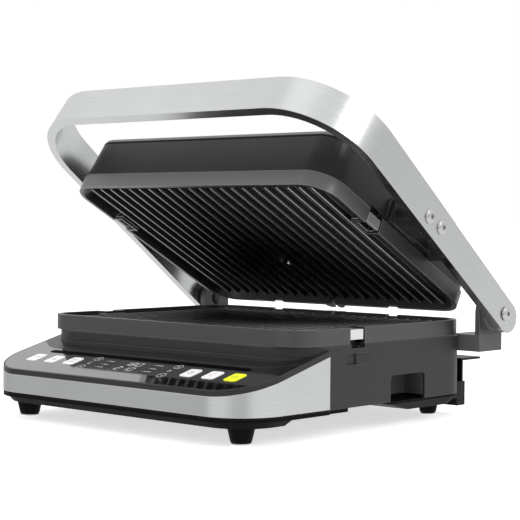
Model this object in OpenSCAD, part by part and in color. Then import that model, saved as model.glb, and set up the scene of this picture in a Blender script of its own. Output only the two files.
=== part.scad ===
// Electric indoor grill with a hinged lid, drawn with the lid propped open.
// Millimetres, +Z up, the control deck faces -Y and the hinges are at +Y.
// The origin lies on the surface that the grill stands on, under its centre.

/* [Grill plates] */
// Width over the rim of a grill plate
plate_w = 304; // [290:1:320]
// Depth of a grill plate, front to back
plate_d = 229; // [215:1:245]
// Height of the plate rim
plate_h = 13.4; // [12.6:0.2:16]
// Radius of the rim corners seen from above
plate_r = 26; // [22:1:30]
// Wall thickness of the rim
rim_t = 4; // [3.4:0.2:5]
// Depth of the cooking surface below the rim edge
basin_depth = 7; // [6:0.5:8]
// Thickness of the plate floor
plate_floor = 3.6; // [3:0.2:4.2]
// Distance between two ridges
rib_pitch = 12.5; // [10:0.5:16]
// Height of a ridge
rib_h = 4.5; // [3:0.5:5]
// Width of a ridge at its foot
rib_w = 4; // [3:0.2:5]
// Height of the lower rim edge above the table
rim_z = 86.8; // [80:0.2:95]
// Gap between the two rims when the lid is shut
close_gap = 0.6; // [0.4:0.1:1.2]

/* [Base] */
// How far the housing stands out past the plate rim
body_over = 0.8; // [0.4:0.1:1.2]
// Radius of the housing's front corners, rounder than the rim above them
body_front_r = 37; // [30:1:40]
// Wall thickness of the mouldings
wall = 2.6; // [2.2:0.1:3]
// Depth of the control deck in front of the plates
deck_d = 67; // [62:1:72]
// Space behind the plates, out to the lip of the drip tray
rear_d = 37; // [34:1:42]
// Slope of the control deck in degrees
deck_slope = 14.8; // [13:0.2:16]
// Radius of the two front corners
deck_r = 42; // [36:1:46]
// How far the steel trim stands out past the housing on each side
band_over = 3.2; // [2.8:0.1:4]
// Thickness of the steel trim
band_t = 1.2; // [0.8:0.1:1.6]
// Height of the lower edge of the steel trim
band_z = 23.2; // [22:0.2:26]
// Height of the steel trim at the front
band_h = 15.4; // [13:0.2:18]
// Length of the steel trim along the sides
band_len = 100.4; // [94:0.2:106]
// Height of the black bezel above the trim
bezel_h = 4.6; // [4:0.2:6]
// Height of the chamfered front lip above the table
lip_z = 13.8; // [12:0.2:16]
// Height of the underside behind the front lip
floor_z = 19; // [18:0.2:20.6]
// Height of the deeper rear pan above the table
rear_pan_z = 12.4; // [11:0.2:14]
// Width of the chamfer round the underside
chamfer = 8; // [6:0.5:10]
// Diameter of a front foot at its top
foot_d = 22.4; // [20:0.2:26]
// Diameter of a rear foot at its top
rear_foot_d = 19; // [16:0.5:22]
// Height of the pale pad under a foot
pad_h = 2.4; // [1.5:0.1:3]

/* [Controls] */
// Distance between two keys
key_pitch = 24; // [22:0.5:26]
// Distance of the inner keys from the centre line
key_inner = 71; // [66:1:76]
// Width of a key
key_w = 13; // [11:0.5:15]
// Length of a key along the slope
key_l = 16; // [13:0.5:18]
// Travel of a key
key_travel = 1; // [0.6:0.1:1.4]
// Distance of the key row from the front edge, along the slope
key_v = 30.7; // [28:0.1:34]
// Width of the display window
display_w = 36; // [30:1:44]
// Length of the display window along the slope
display_l = 22; // [18:1:26]
// Thickness of the glass panel
glass_t = 1.6; // [1.2:0.1:2]
// Distance between the wall of the housing and the glass panel
collar_w = 12.5; // [10:0.5:15]

/* [Lid and hinge] */
// Angle at which the lid is propped open
open_angle = 28.6; // [20:0.1:40]
// Distance of the hinge axis behind the plates
hinge_set = 8.8; // [8:0.2:12]
// Height of the hinge axis above the shut rim gap
hinge_up = 5.2; // [4:0.2:7]
// Height of the lid housing above the upper rim
lid_h = 41; // [36:1:48]
// How far the walls of the lid housing lean inwards
lid_draft = 4; // [2:0.5:6]
// Width over the outer faces of the two handle arms
arm_span = 370; // [364:1:384]
// Width of an arm at the hinge
arm_w = 26.6; // [24:0.2:30]
// Width of the grip bar
grip_w = 33; // [30:1:38]
// Thickness of the arms and of the grip bar
arm_t = 8.4; // [7:0.2:9]
// Distance of the grip's outer face from the hinge axis
arm_l = 295; // [285:1:305]
// Outer radius of the bends of the handle
bend_r = 70; // [55:1:80]
// Angle between the arms and the plane of the lid
arm_tilt = 9.5; // [8:0.1:11]
// Distance from the hinge to the rear fixing screw of an arm
screw_q = 121; // [112:0.5:126]
// Distance between the two fixing screws of an arm
screw_gap = 18.8; // [17:0.2:22]
// Height of the fixing screws above the hinge axis, square to the lid
screw_r = 19.9; // [18:0.1:22]
// Diameter of the screw heads
head_d = 12.4; // [11:0.2:13.4]
// Diameter of the hinge shoulder that an arm turns on
shoulder_d = 9; // [8:0.5:10]
// Thickness of the upright hinge lug
lug_t = 5; // [4:0.5:6]
// Radius of the round top of the hinge lug
lug_r = 17.2; // [16:0.1:20]
// Distance of an arm's round end behind the hinge axis
arm_tail = 6; // [4:0.5:8]

/* [Plate latches] */
// Length of a latch button along the rim
latch_l = 16; // [13:0.2:18]
// Height of a latch button
latch_h = 8.2; // [7:0.2:9.4]
// Distance from the hinge axis to the middle of the latches, the same on both plates
latch_q = 166; // [160:0.5:172]

/* [Drip tray] */
// Width of the drip tray
tray_w = 280; // [262:1:284]
// Depth of the drip tray inside the housing
tray_in = 48; // [40:1:54]
// Height of the drip tray's walls above its floor
tray_h = 14.5; // [12:0.5:16]
// Height of the tray's splash wall above the tray rim
splash_h = 20.5; // [16:0.5:24]

/* [Hidden] */
$fn = 48;
run_fit = 0.05;
slide_gap = 0.4;
seat_gap = 0.2;

// Places along Y, worked out from the three depths
front_y = -(deck_d + plate_d + rear_d) / 2;
plate_front = front_y + deck_d;
plate_back = plate_front + plate_d;
plate_mid = (plate_front + plate_back) / 2;
lip_end_y = plate_back + rear_d;
band_end_y = front_y + band_len;
hinge_y = plate_back + hinge_set;
hinge_z = rim_z + close_gap / 2 + hinge_up;

// The housing under the plates
body_w = plate_w + 2 * body_over;
body_r = plate_r + body_over;
body_back = plate_back + body_over;
body_top = rim_z - plate_h;
shell_z = floor_z + 3;
pocket_z = shell_z + wall;
band_w = body_w + 2 * band_over;

// Where the underside steps up behind the front lip, up again, and down to the rear pan
lip_back = front_y + 64;
side_step_y = band_end_y + 26.6;
pan_front = hinge_y - 121.8;
pan_slope = 35;
pan_edge_z = shell_z - 2;

// The control deck: its plane starts at the top front edge of the bezel
deck_z = band_z + band_h + bezel_h;

// The plates, as depths away from the plane where the two rims meet
floor_in = basin_depth + plate_floor;
spout_w = 22;
spout_out = 5;
drain_w = 5;
heater_d = 6.6;
heater_depth = floor_in + heater_d / 2;
pan_depth = heater_depth + heater_d / 2 + 8;
pan_t = 1;

// Latches, as depths again: the button, the stem behind it, its pivot and its hook
latch_top = 1.9;
latch_t = 3;
stem_t = 3;
pivot_depth = 16.4;
pivot_d = 3;
hook_depth = 23.5;
hook_t = 2.4;
nose_out = 1.3;
lug_gap = 2.3;
lug_t2 = 2.2;
boss_t = 2;
latch_x = plate_w / 2 - latch_t;
stem_x = latch_x - 7;
notch_x = stem_x - 2.5;
notch_len = latch_l + 3.4;
ear_t = 2.4;
dip_in = 2.8;

// Handle and hinge
arm_out = arm_span / 2;
arm_in = arm_out - arm_t;
boss_h = 6.2;
block_h = 14.6;
lug_out = arm_in - slide_gap - boss_h;
boss_r = arm_w / 2 + 2.4;
screw_d = 5;
pad_x = plate_w / 2 - 1.2;
pad_t = 2.8;
screw_in = (arm_in - pad_x) * 0.55;
stop_u = 85;
stop_n = 7;

// Drip tray
tray_floor_z = rear_pan_z + 2.9;
tray_top_z = tray_floor_z + tray_h;
splash_gap = 7.4;
splash_y = body_back + splash_gap;
tray_wall = 1.8;
fascia_t = 5;
tray_front_y = body_back - tray_in;

// ---------- helpers ----------

// A rectangle with round corners, its middle at the origin
module round_rect(w, d, r) {
    square([w - 2 * r, d], center = true);
    square([w, d - 2 * r], center = true);
    for (sx = [-1, 1], sy = [-1, 1])
        translate([sx * (w / 2 - r), sy * (d / 2 - r)]) circle(r);
}

// The outline of the plates, grown or shrunk all round
module plate_outline(grow = 0) {
    translate([0, plate_mid]) round_rect(plate_w + 2 * grow, plate_d + 2 * grow, plate_r + grow);
}

// The outline of the housing under the plates, its front corners rounder than the rim's
module body_outline(inset = 0) {
    w = body_w - 2 * inset;
    rf = body_front_r - inset;
    rb = body_r - inset;
    y0 = plate_front - body_over + inset;
    y1 = body_back - inset;
    translate([-w / 2, y0 + rf]) square([w, y1 - rb - y0 - rf]);
    translate([-w / 2 + rf, y0]) square([w - 2 * rf, rf + 1]);
    translate([-w / 2 + rb, y1 - rb - 1]) square([w - 2 * rb, rb + 1]);
    for (s = [-1, 1]) {
        translate([s * (w / 2 - rf), y0 + rf]) circle(rf);
        translate([s * (w / 2 - rb), y1 - rb]) circle(rb);
    }
}

// The outline of the deck: square at the back, round at the two front corners
module deck_outline(inset = 0, back = band_end_y) {
    w = band_w - 2 * inset;
    r = deck_r - inset;
    y0 = front_y + inset;
    translate([-w / 2, y0 + r]) square([w, back - y0 - r]);
    translate([-w / 2 + r, y0]) square([w - 2 * r, r + 1]);
    intersection() {
        for (s = [-1, 1]) translate([s * (w / 2 - r), y0 + r]) circle(r);
        translate([-w / 2, y0]) square([w, back - y0]);
    }
}

// Moves to the deck's own frame: x, then up the slope, then out of the surface
module on_deck() {
    translate([0, front_y, deck_z]) rotate([deck_slope, 0, 0]) children();
}

// Everything above a plane that lies a given upright distance below the deck
module above_deck(drop) {
    translate([0, front_y, deck_z - drop]) rotate([deck_slope, 0, 0])
        translate([-band_w, -band_w / 4, 0]) cube([2 * band_w, 1.4 * band_w, band_w]);
}

// Draws what is given as depths below the rim of the lower plate
module lower_half() {
    translate([0, 0, rim_z]) mirror([0, 0, 1]) children();
}

// Turns what is drawn with the lid shut to the propped pose
module open_lid() {
    translate([0, hinge_y, hinge_z]) rotate([-open_angle, 0, 0])
        translate([0, -hinge_y, -hinge_z]) children();
}

module upper_half() {
    open_lid() translate([0, 0, rim_z + close_gap]) children();
}

// The frame of the handle arms: x, distance from the hinge, square to the arms
module arm_frame() {
    translate([0, hinge_y, hinge_z]) rotate([-open_angle - arm_tilt, 0, 0])
        mirror([0, 1, 0]) children();
}

// The same frame square to the lid: x, distance from the hinge, height
module lid_frame() {
    translate([0, hinge_y, hinge_z]) rotate([-open_angle, 0, 0])
        mirror([0, 1, 0]) children();
}

module sideways(side) {
    if (side > 0) children();
    else mirror([1, 0, 0]) children();
}

// ---------- base ----------

// The part of the housing's outline behind a line across it
module rear_outline(inset, from_y) {
    intersection() {
        body_outline(inset);
        translate([-body_w, from_y]) square([2 * body_w, body_back - from_y]);
    }
}

// A pan that slopes down from its front edge, its sides and back chamfered
module pan_form(z0, z1, inset, cham) {
    hull() {
        translate([0, 0, pan_edge_z]) linear_extrude(z1 - pan_edge_z) rear_outline(inset, pan_front + inset);
        translate([0, 0, z0]) linear_extrude(0.5) rear_outline(inset + cham, pan_front + pan_slope);
    }
}

// The front lip under the steel trim, its front and sides chamfered
module front_lip(z0, z1, inset, cham) {
    hull() {
        translate([0, 0, z1 - 0.5]) linear_extrude(0.5) deck_outline(inset, lip_back - inset);
        translate([0, 0, z0]) linear_extrude(0.5)
            deck_outline(inset + cham, lip_back - inset - cham);
    }
}

// Bottom cover: chamfered front lip, raised middle and the floor inside the walls
module base_tray() {
    color([0.16, 0.16, 0.16]) difference() {
        union() {
            front_lip(lip_z, band_z, 0.4, chamfer);
            translate([0, 0, floor_z]) linear_extrude(shell_z - floor_z) intersection() {
                union() {
                    body_outline();
                    deck_outline(0.4);
                }
                translate([-band_w, front_y]) square([2 * band_w, side_step_y - front_y]);
            }
            translate([0, 0, shell_z]) linear_extrude(wall) intersection() {
                body_outline(wall + seat_gap);
                translate([-band_w, side_step_y - 5])
                    square([2 * band_w, grip_y0 + grip_len + 2 * wall - side_step_y + 5]);
            }
        }
        front_lip(lip_z + wall, band_z + 1, wall + 0.4, chamfer);
        hand_grips(0.3, floor_z);
    }
}

// The deeper pan at the rear, open on top and cut out for the drip tray
module rear_pan() {
    color([0.16, 0.16, 0.16]) difference() {
        union() {
            pan_form(rear_pan_z, shell_z, 0, chamfer);
            for (s = [-1, 1]) translate([s * rear_foot_x, rear_foot_y, rear_pan_z])
                cylinder(d = rear_foot_d, h = chamfer / 2);
        }
        difference() {
            pan_form(rear_pan_z + wall, shell_z + 1, wall, chamfer);
            hand_grips(wall, 0);
        }
        tray_bay();
    }
}

// The two hand grips in the sides, from the edge of the pan up, their upper corners rounded
grip_y0 = pan_front;
grip_len = 48;
grip_top = 44.4;
grip_in = 22;
grip_corner = 4;
module hand_grips(grow, from_z) {
    z1 = grip_top + grow;
    r = grip_corner;
    for (s = [-1, 1]) sideways(s) translate([body_w / 2 - grip_in - grow, 0, 0])
        rotate([90, 0, 90]) linear_extrude(grip_in + 4 + grow) {
            translate([grip_y0 - grow, from_z]) square([grip_len + 2 * grow, z1 - r - from_z]);
            translate([grip_y0 - grow + r, from_z]) square([grip_len + 2 * grow - 2 * r, z1 - from_z]);
            for (y = [grip_y0 - grow + r, grip_y0 + grip_len + grow - r]) translate([y, z1 - r]) circle(r);
        }
}

// The bay that the drip tray slides into
module tray_bay() {
    translate([-tray_w / 2 - slide_gap, tray_front_y - slide_gap, tray_floor_z - slide_gap])
        cube([tray_w + 2 * slide_gap, tray_in + rear_d, tray_h + 2 * slide_gap]);
}

// Main moulding: the walls under the plates and the apron under the deck
module base_housing() {
    color([0.27, 0.27, 0.27]) difference() {
        union() {
            difference() {
                translate([0, 0, shell_z]) linear_extrude(body_top - shell_z) body_outline();
                translate([0, 0, shell_z - 1]) linear_extrude(body_top) body_outline(wall);
            }
            apron();
            ledge_ring();
            intersection() {
                dip_backing();
                translate([0, 0, shell_z]) linear_extrude(body_top - shell_z) body_outline(1);
            }
            for (s = [-1, 1]) sideways(s) lower_half() latch_ears();
        }
        hand_grips(0, shell_z - 1);
        tray_bay();
        for (s = [-1, 1]) sideways(s) {
            lower_half() latch_slot();
            finger_dip();
        }
        reveal(body_top, 0.6);
        front_groove();
        drain_relief();
        translate([gland_x, body_back - wall - 1, gland_z]) rotate([-90, 0, 0]) cylinder(d = 9, h = wall + 2);
    }
}

// Liner that shuts the tray bay off from the inside of the housing
module tray_bay_liner() {
    liner_t = 1.6;
    grow = slide_gap + liner_t;
    w = tray_w + 2 * grow;
    y0 = tray_front_y - grow;
    z0 = rear_pan_z + wall;
    color([0.2, 0.2, 0.2]) difference() {
        union() {
            translate([-w / 2, y0, z0]) cube([w, body_back - body_r - 2 - y0, shell_z - z0]);
            translate([0, 0, shell_z]) linear_extrude(tray_top_z + grow - shell_z) intersection() {
                body_outline(wall + 0.02);
                translate([-w / 2, y0]) square([w, body_back - y0]);
            }
        }
        tray_bay();
    }
}

// Walls behind the steel trim, up to the underside of the deck frame
module apron() {
    difference() {
        translate([0, 0, shell_z]) linear_extrude(body_top - shell_z) difference() {
            deck_outline(band_t);
            deck_outline(band_t + wall);
            body_outline(body_over);
        }
        above_deck(bezel_h);
        translate([-band_w, front_y - 1, 0]) cube([2 * band_w, lip_back - front_y + 1, band_z]);
    }
}

// Ledge round the inside that the reflector pan hangs on
ledge_in = 6.8;
module ledge_ring() {
    lower_half() translate([0, 0, floor_in + 5]) linear_extrude(3) difference() {
        body_outline(1);
        body_outline(wall + ledge_in);
    }
}

// Closed pocket round one hand grip, on the floor and against the side wall
module grip_pocket() {
    color([0.22, 0.22, 0.22]) difference() {
        translate([body_w / 2 - grip_in - wall, grip_y0 - wall, pocket_z])
            cube([grip_in, grip_len + 2 * wall, grip_top + wall - pocket_z]);
        hand_grips(0, shell_z);
    }
}

// Thicker wall behind the two finger dips, each below the rear half of a latch
dip_r = 4.6;
dip_len = 16.4;
dip_tail = 18.6;
dip_y = hinge_y - latch_q - dip_len + dip_r;
dip_z = rim_z - 25.7;
module dip_backing() {
    for (s = [-1, 1]) sideways(s)
        translate([body_w / 2 - dip_in - 1.8, dip_y - dip_r - 2, dip_z - dip_r - 2])
            cube([dip_in + 1.8, dip_len + 4, 2 * dip_r + 4]);
}

// A thin dark reveal cut round the housing at a given height
module reveal(z, deep) {
    translate([0, 0, z - 0.7]) linear_extrude(1.4) difference() {
        body_outline(-1);
        body_outline(deep);
    }
}

// The fine line along the front wall above the deck
module front_groove() {
    line_z = deck_z + (plate_front - front_y) * tan(deck_slope) + 3.4;
    translate([0, 0, line_z]) linear_extrude(0.7) difference() {
        body_outline(-1);
        body_outline(0.7);
        translate([-plate_w, plate_front + body_front_r]) square([2 * plate_w, plate_d]);
    }
}

// Relief in the rear wall below the drain spout
module drain_relief() {
    translate([-spout_w / 2 - 1, body_back - 1.2, rim_z - plate_h - 12])
        cube([spout_w + 2, 3, 13]);
}

// Finger dip in the side wall below a latch: round in front, then a shallow run-out behind
module finger_dip() {
    translate([body_w / 2 - dip_in, dip_y, dip_z]) {
        rotate([0, 90, 0]) cylinder(r = dip_r, h = 8);
        translate([0, 0, -dip_r]) cube([8, dip_len - dip_r, 2 * dip_r]);
    }
    translate([body_w / 2, dip_y + dip_len - dip_r - 0.1, dip_z - dip_r]) linear_extrude(2 * dip_r)
        polygon([[-dip_in / 2, 0], [1, 0], [1, dip_tail + dip_tail / dip_in * 2], [0, dip_tail]]);
}

// Brushed steel trim round the front, its top edge parallel to the deck
module steel_band() {
    color([0.75, 0.76, 0.76]) difference() {
        translate([0, 0, band_z]) linear_extrude(90) difference() {
            deck_outline(0);
            deck_outline(band_t);
        }
        above_deck(bezel_h);
    }
}

// Bezel that carries the glass and closes the apron
module deck_frame() {
    color([0.1, 0.1, 0.1]) difference() {
        intersection() {
            translate([0, 0, band_z]) linear_extrude(90) difference() {
                deck_outline(0.2);
                body_outline(-seat_gap);
            }
            above_deck(bezel_h);
        }
        above_deck(0);
        intersection() {
            translate([0, 0, band_z]) linear_extrude(90) glass_outline(0);
            above_deck(glass_t / cos(deck_slope));
        }
        on_deck() {
            for (i = [0:5]) translate([key_x(i), key_v, 0]) key_hole(slide_gap + 0.6, 20);
            translate([0, key_v, 0]) cube([display_w - 3, display_l - 3, 40], center = true);
        }
    }
    color([0.1, 0.1, 0.1]) on_deck() board_posts();
}

// Outline of the glass: inside the bezel and clear of the collar round the housing
module glass_outline(clear) {
    difference() {
        deck_outline(1.6 + clear);
        body_outline(-collar_w - clear);
        translate([-band_w, plate_front]) square([2 * band_w, plate_d]);
    }
}

function key_x(i) = (i < 3 ? -1 : 1) * (key_inner + (i < 3 ? 2 - i : i - 3) * key_pitch);

// The hole for a key, its corners rounded
module key_hole(grow, deep) {
    translate([0, 0, -deep / 2 - 2]) linear_extrude(deep + 4)
        round_rect(key_w + 2 * grow, key_l + 2 * grow, 2.5 + grow);
}

// Posts from the bezel down to the control board
board_drop = 11;
module board_posts() {
    for (x = [-1, 1] * (key_inner + 2.5 * key_pitch), x2 = [0, 1])
        translate([x2 == 0 ? x : sign(x) * 34, key_v, -board_drop])
            cylinder(d = 6, h = board_drop - bezel_h * cos(deck_slope) + 0.5);
}

// Glossy panel with openings for the keys and the display
module deck_glass() {
    color([0.02, 0.02, 0.02]) difference() {
        intersection() {
            translate([0, 0, band_z]) linear_extrude(90) glass_outline(seat_gap);
            above_deck(glass_t / cos(deck_slope));
        }
        above_deck(0);
        on_deck() {
            for (i = [0:5]) translate([key_x(i), key_v, 0]) key_hole(slide_gap, 10);
            translate([0, key_v, 0]) cube([display_w, display_l, 10], center = true);
        }
    }
}

// Window of the display, seated on the bezel round its opening
module display_window() {
    color([0.05, 0.06, 0.06]) on_deck() translate([-display_w / 2 + 0.1, key_v - display_l / 2 + 0.1, -glass_t])
        cube([display_w - 0.2, display_l - 0.2, glass_t]);
}

// Board under the deck, with the display module and a switch below each key
board_t = 1.6;
switch_h = board_drop - 6.6;
module control_board() {
    w = 2 * (key_inner + 2 * key_pitch + key_w + 4);
    d = 2 * key_l + 2;
    color([0.1, 0.3, 0.18]) on_deck() {
        translate([-w / 2, key_v - d / 2, -board_drop - board_t]) cube([w, d, board_t]);
        translate([-display_w / 2 + 2, key_v - display_l / 2 + 2, -board_drop])
            cube([display_w - 4, display_l - 4, board_drop - glass_t]);
        for (i = [0:5]) translate([key_x(i), key_v, -board_drop]) switch();
    }
}

module switch() {
    translate([-3, -3, 0]) cube([6, 6, 2.4]);
    cylinder(d = 3.4, h = switch_h - key_travel - 0.3);
}

// One key: a cap in the glass and a stem down to its switch
module key(i) {
    cap_t = 3.4;
    shade = i == 5 ? [0.9, 0.93, 0.15] : [0.92, 0.92, 0.93];
    color(shade) on_deck() translate([key_x(i), key_v, 0]) {
        translate([0, 0, 0.5 - cap_t]) linear_extrude(cap_t) round_rect(key_w, key_l, 2.5);
        translate([0, 0, -board_drop + switch_h]) cylinder(d = 5, h = board_drop - switch_h - cap_t + 1);
    }
}

// Power board with its relays and terminals, on posts under the plates
module power_board() {
    w = plate_w * 0.26;
    d = plate_d * 0.26;
    relay = w * 0.22;
    z0 = shell_z + 6;
    color([0.12, 0.32, 0.2]) translate([-w * 0.85, plate_front + 20, 0]) {
        translate([0, 0, z0]) cube([w, d, board_t]);
        for (x = [6, w - 6], y = [6, d / 2]) translate([x, y, shell_z]) cylinder(d = 5, h = z0 - shell_z);
        for (x = [w * 0.12, w * 0.42]) translate([x, d * 0.16, z0 + board_t]) cube([relay, relay * 0.85, relay * 0.85]);
        translate([w * 0.12, d * 0.6, z0 + board_t]) cube([w * 0.55, d * 0.2, relay * 0.6]);
        translate([w * 0.82, d * 0.4, z0 + board_t]) cylinder(r = relay * 0.28, h = relay * 0.9);
    }
}

// Bushing in the rear wall where the supply enters
gland_x = -112;
gland_z = 60;
module cord_gland() {
    color([0.08, 0.08, 0.08]) translate([gland_x, body_back, gland_z]) rotate([-90, 0, 0])
        rotate_extrude() polygon([[4, 0], [9, 0], [9, 2.4], [6.6, 4], [6, 12], [4, 12]]);
}

// A tapered round foot, its lower edge bevelled, with the socket for its pad
foot_taper = 0.75;
pad_in = 2.6;
module foot(d, h) {
    r = d / 2 * foot_taper;
    color([0.12, 0.12, 0.12]) difference() {
        rotate_extrude() polygon([[0, pad_h - 1.2], [r - 1.2, pad_h - 1.2], [r, pad_h - 0.2], [d / 2, h], [0, h]]);
        translate([0, 0, -1]) cylinder(r = r - pad_in + slide_gap / 2, h = pad_h + 1);
    }
}

foot_side_in = 29;
foot_front_in = 28.4;
rear_foot_in = 36;
front_foot_x = band_w / 2 - foot_side_in;
front_foot_y = front_y + foot_front_in;
rear_foot_x = body_w / 2 - rear_foot_in;
rear_foot_y = body_back - rear_foot_d / 2 - 2;
module front_foot(s) { translate([s * front_foot_x, front_foot_y, 0]) foot(foot_d, lip_z); }
module rear_foot(s) { translate([s * rear_foot_x, rear_foot_y, 0]) foot(rear_foot_d, rear_pan_z); }

// Pale non-slip pads
module pads(x, y, d) {
    color([0.75, 0.75, 0.73]) for (s = [-1, 1])
        translate([s * x, y, 0]) cylinder(r = d / 2 * foot_taper - pad_in, h = pad_h);
}

// ---------- plates, heaters and latches, drawn as depths ----------

// Cast plate: rim, sloping basin, ridges, drain spout and latch lugs
module grill_plate() {
    difference() {
        union() {
            linear_extrude(plate_h) plate_outline(0);
            spout();
        }
        basin();
        translate([0, 0, floor_in]) linear_extrude(plate_h) plate_outline(-rim_t);
        translate([-drain_w / 2, plate_back - rim_t - 8, -1]) cube([drain_w, 30, basin_depth + 1]);
        for (x = [-70, 70]) translate([x - 6, plate_back - rim_t - 1, -1]) cube([12, rim_t + 2, 2.4]);
        for (s = [-1, 1]) sideways(s) notch();
    }
    intersection() {
        ribs();
        linear_extrude(plate_h) plate_outline(-rim_t - 5.5);
    }
    translate([0, plate_mid, basin_depth - 1.4]) cylinder(d = 9, h = 2);
    for (s = [-1, 1]) sideways(s) {
        notch_wall();
        lug();
    }
}

// The space above the cooking surface, its walls sloping inwards
module basin() {
    hull() {
        translate([0, 0, -0.5]) linear_extrude(0.6) plate_outline(-rim_t + 0.6);
        translate([0, 0, basin_depth - 0.1]) linear_extrude(0.1) plate_outline(-rim_t - 5);
    }
}

// Ridges that run from front to back, with a narrow round-topped section
module ribs() {
    n = floor((plate_w - 2 * rim_t - 14) / rib_pitch / 2);
    tip = rib_w / 4;
    for (s = [-1, 1], i = [0:n - 1])
        translate([s * (i + 0.5) * rib_pitch, plate_back - rim_t - 6, basin_depth + 0.5])
            rotate([90, 0, 0]) linear_extrude(plate_d - 2 * rim_t - 12)
                polygon([[-rib_w / 2, 0], [rib_w / 2, 0], [tip, -rib_h], [tip / 2, -rib_h - 0.5],
                    [-tip / 2, -rib_h - 0.5], [-tip, -rib_h]]);
}

// Forked spout behind the drain notch
module spout() {
    translate([-spout_w / 2, plate_back - 1, 0]) linear_extrude(plate_h - 1)
        polygon([[0, 0], [spout_w, 0], [spout_w, 3], [spout_w - 4, 1 + spout_out],
            [spout_w / 2 + 2, 1 + spout_out], [spout_w / 2 - 2, 1 + spout_out], [4, 1 + spout_out], [0, 3]]);
}

// Front end of a latch button
latch_y = hinge_y - latch_q - latch_l / 2;

// The notch in the rim where a latch button sits
module notch() {
    translate([notch_x, latch_y - 1, -1]) cube([plate_w, notch_len, plate_h + 2]);
}

// Wall that closes the basin behind a notch
module notch_wall() {
    translate([notch_x - boss_t, latch_y - 1 - boss_t, 0]) difference() {
        cube([plate_w / 2 - rim_t - notch_x + boss_t + 0.8, notch_len + 2 * boss_t, floor_in]);
        translate([boss_t, boss_t, -1]) cube([40, notch_len, plate_h + 2]);
    }
}

// Lug under the plate with the window that a latch hooks into
module lug() {
    w = 11;
    translate([stem_x - lug_gap - lug_t2, hinge_y - latch_q - w / 2, basin_depth + 1]) difference() {
        cube([lug_t2, w, hook_depth - basin_depth + 2.4]);
        translate([-1, 2, hook_depth - hook_t - basin_depth - 1.6]) cube([lug_t2 + 2, w - 4, hook_t + 2]);
    }
}

// A rocking latch: button in the rim, stem, pivot pin and hook
module latch() {
    arm_top = latch_top + latch_h - 2.4;
    translate([latch_x, latch_y, latch_top]) cube([latch_t, latch_l, latch_h]);
    translate([stem_x, latch_y + 2, arm_top]) cube([latch_x + 1 - stem_x, latch_l - 4, 2.4]);
    translate([stem_x, latch_y + 2, arm_top]) cube([stem_t, latch_l - 4, hook_depth - arm_top]);
    translate([stem_x + stem_t / 2, latch_y - 0.2 - ear_t, pivot_depth]) rotate([-90, 0, 0])
        cylinder(d = pivot_d, h = latch_l + 2.2 + 2 * ear_t);
    translate([stem_x - lug_gap - nose_out, hinge_y - latch_q - 3, hook_depth - hook_t])
        cube([nose_out + lug_gap + 1, 6, hook_t]);
}

// The slot that a latch passes through, open to the outside below its button, and its pivot's bore
module latch_slot() {
    out_x = body_w / 2 - dip_in - 1.8;
    translate([out_x - 1, latch_y - 0.2, plate_h - 1]) cube([20, latch_l + 2, 4.6]);
    translate([stem_x - 6, latch_y + 0.6, plate_h - 1]) cube([out_x - stem_x + 6, latch_l - 1.2, 20]);
    translate([stem_x + stem_t / 2, latch_y - 0.6 - ear_t, pivot_depth]) rotate([-90, 0, 0])
        cylinder(d = pivot_d + 2 * run_fit, h = latch_l + 3 + 2 * ear_t);
}

// Two ears for a latch's pivot pin
module latch_ears() {
    for (y = [latch_y - 0.2 - ear_t, latch_y + latch_l + 2])
        translate([stem_x - 2.6, y, plate_h + 0.2])
            cube([plate_w / 2 - 2 - stem_x + 2.6, ear_t, pivot_depth + 3.4 - plate_h]);
}

// Heating rod: a round-cornered loop with two legs through the reflector
module heater() {
    w = plate_w - 84;
    d = plate_d - 86;
    r = 26;
    gap = 44;
    translate([0, plate_mid, heater_depth]) {
        for (sx = [-1, 1], sy = [-1, 1]) translate([sx * (w / 2 - r), sy * (d / 2 - r), 0])
            mirror([sx < 0 ? 1 : 0, 0, 0]) mirror([0, sy < 0 ? 1 : 0, 0])
                rotate_extrude(angle = 90) translate([r, 0]) circle(d = heater_d);
        for (sx = [-1, 1]) translate([sx * w / 2, d / 2 - r, 0]) rotate([90, 0, 0])
            cylinder(d = heater_d, h = d - 2 * r);
        translate([-w / 2 + r, -d / 2, 0]) rotate([0, 90, 0]) cylinder(d = heater_d, h = w - 2 * r);
        for (sx = [-1, 1]) {
            translate([sx * (w / 2 - r), d / 2, 0]) rotate([0, -90 * sx, 0])
                cylinder(d = heater_d, h = w / 2 - r - gap / 2);
            translate([sx * gap / 2, d / 2, 0]) sphere(d = heater_d);
            translate([sx * gap / 2, d / 2, 0]) cylinder(d = heater_d, h = 22);
        }
    }
}

// Pan of thin sheet that throws the heat at the plate
flange_in = 2.9;
flange_w = 7.4;
clip_l = 6;
clip_w = 8;
module reflector() {
    rod_d = plate_d - 86;
    difference() {
        union() {
            translate([0, 0, floor_in + 4]) linear_extrude(pan_t) body_outline(wall + flange_in);
            translate([0, 0, floor_in + 4]) linear_extrude(pan_depth - floor_in - 4)
                body_outline(wall + flange_in + flange_w);
        }
        translate([0, 0, floor_in]) linear_extrude(pan_depth - floor_in - pan_t)
            body_outline(wall + flange_in + flange_w + pan_t);
        for (s = [-1, 1]) translate([s * 22, plate_mid + rod_d / 2, 0])
            cylinder(d = heater_d + 2, h = 60);
        for (s = [-1, 1]) sideways(s) translate([stem_x - 8, latch_y - ear_t - 1, floor_in])
            cube([20, latch_l + 2 * ear_t + 4, 30]);
    }
    for (x = [-60, 60], s = [-1, 1]) translate([x, plate_mid + s * rod_d / 2, heater_depth])
        difference() {
            translate([-clip_l / 2, -clip_w / 2, 1]) cube([clip_l, clip_w, pan_depth - heater_depth - 1.5]);
            translate([-clip_l / 2 - 1, 0, 0]) rotate([0, 90, 0])
                cylinder(d = heater_d + 2 * run_fit, h = clip_l + 2);
        }
}

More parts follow.
